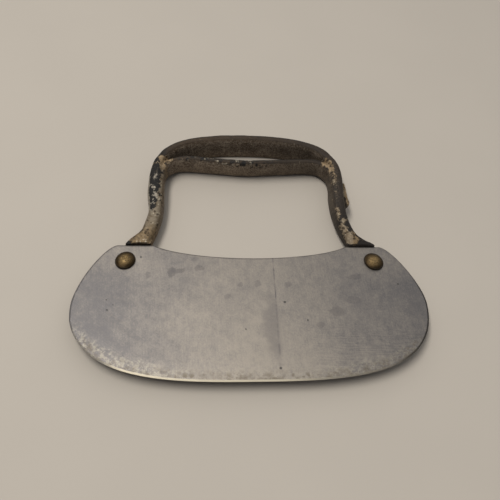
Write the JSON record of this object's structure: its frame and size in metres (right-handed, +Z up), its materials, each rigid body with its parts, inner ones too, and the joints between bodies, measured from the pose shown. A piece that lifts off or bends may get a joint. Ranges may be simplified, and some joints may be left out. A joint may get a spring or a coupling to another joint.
{
  "type": "mezzaluna",
  "caption": "Single-blade mezzaluna: a crescent steel chopping blade riveted to a one-piece cast-iron loop handle with a palm arch and a finger bar.",
  "frame": {"origin": "on the table, under the middle of the object as it lies on its back", "axes": "+X along the blade, +Y from the cutting edge to the palm arch, +Z up from the table through the blade's front"},
  "size_m": [0.1624, 0.1366, 0.0135],
  "materials": {
    "blade_steel": "worn satin sheet steel with fine scratches and faint stains",
    "handle_iron": "old black japan flaking off brown cast iron",
    "rivet_brass": "tarnished hand-peened brass"
  },
  "bodies": {
    "root": {"blade": "blade_steel", "handle": "handle_iron", "rivet_left": "rivet_brass", "rivet_right": "rivet_brass"}
  },
  "joints": []
}
